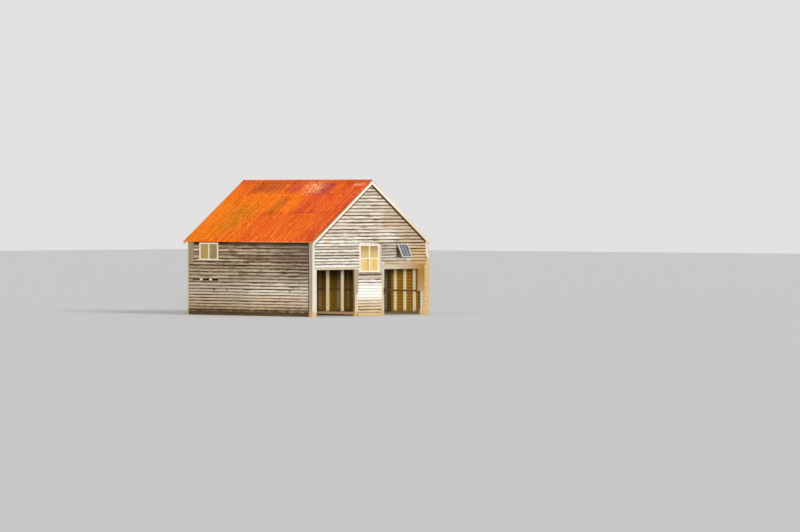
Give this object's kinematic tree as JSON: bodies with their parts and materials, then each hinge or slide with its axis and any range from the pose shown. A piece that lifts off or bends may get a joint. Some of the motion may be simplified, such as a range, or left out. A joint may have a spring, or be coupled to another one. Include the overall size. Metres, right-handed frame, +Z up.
{
  "type": "boathouse",
  "caption": "Timber boathouse with open berths in the front gable, weatherboard walls, a corrugated iron roof, small casement windows and a solar panel.",
  "frame": {"origin": "centre of the outline seen from above, at the water level that the walls and posts stand at", "axes": "+Z up, +Y from the front gable to the back wall, +X to the right along the front gable"},
  "size_m": [7.04, 7.5294, 5.5088],
  "materials": {
    "gable_boards": "weathered whitewashed weatherboards",
    "side_boards": "weathered brown-grey weatherboards",
    "trim_boards": "weathered plain boards, partly whitewashed",
    "frame_timber": "rough sawn timber",
    "deck_boards": "weathered planks",
    "cream_paint": "old cream paint on wood",
    "roof_iron": "faded red oxide paint on corrugated iron",
    "window_glass": "old window glass",
    "solar_cells": "solar cells behind glass in a pale metal rim",
    "bracket_steel": "dark painted steel"
  },
  "bodies": {
    "root": {"back_left_barge_board": "cream_paint", "back_left_corner_board": "trim_boards", "back_right_barge_board": "cream_paint", "back_right_corner_board": "trim_boards", "back_tie_beam": "frame_timber", "back_wall_cladding": "side_boards", "back_wall_studs": "frame_timber", "berth_posts": "frame_timber", "centre_beam": "frame_timber", "centre_posts": "frame_timber", "corner_posts": "frame_timber", "front_gable_cladding": "gable_boards", "front_gable_studs": "frame_timber", "front_left_barge_board": "cream_paint", "front_left_corner_board": "trim_boards", "front_lintel_beams": "frame_timber", "front_right_barge_board": "cream_paint", "front_right_cladding": "gable_boards", "front_right_corner_board": "trim_boards", "front_tie_beam": "frame_timber", "front_window_frame": "cream_paint", "front_window_glass": "window_glass", "left_jamb_board": "trim_boards", "left_lintel_board": "trim_boards", "left_mid_rail": "frame_timber", "left_rafters": "frame_timber", "left_roof_battens": "frame_timber", "left_roof_sheet": "roof_iron", "left_wall_cladding": "side_boards", "left_wall_end_board": "trim_boards", "left_wall_plate": "frame_timber", "left_wall_studs": "frame_timber", "lower_corner_board": "trim_boards", "middle_tie_beam": "frame_timber", "panel_brackets": "bracket_steel", "pier_cladding": "gable_boards", "pier_edge_board": "trim_boards", "pier_studs": "frame_timber", "ridge_board": "frame_timber", "ridge_cap": "roof_iron", "right_lining_board": "trim_boards", "right_lintel_board": "trim_boards", "right_mid_rail": "frame_timber", "right_rafters": "frame_timber", "right_roof_battens": "frame_timber", "right_roof_sheet": "roof_iron", "right_wall_cladding": "side_boards", "right_wall_plate": "frame_timber", "right_wall_studs": "frame_timber", "side_window_frame": "cream_paint", "side_window_glass": "window_glass", "solar_panel": "solar_cells", "sole_plates": "frame_timber", "sprung_corner_board": "trim_boards", "walkway_bearers": "deck_boards", "walkway_deck": "deck_boards"}
  },
  "joints": []
}
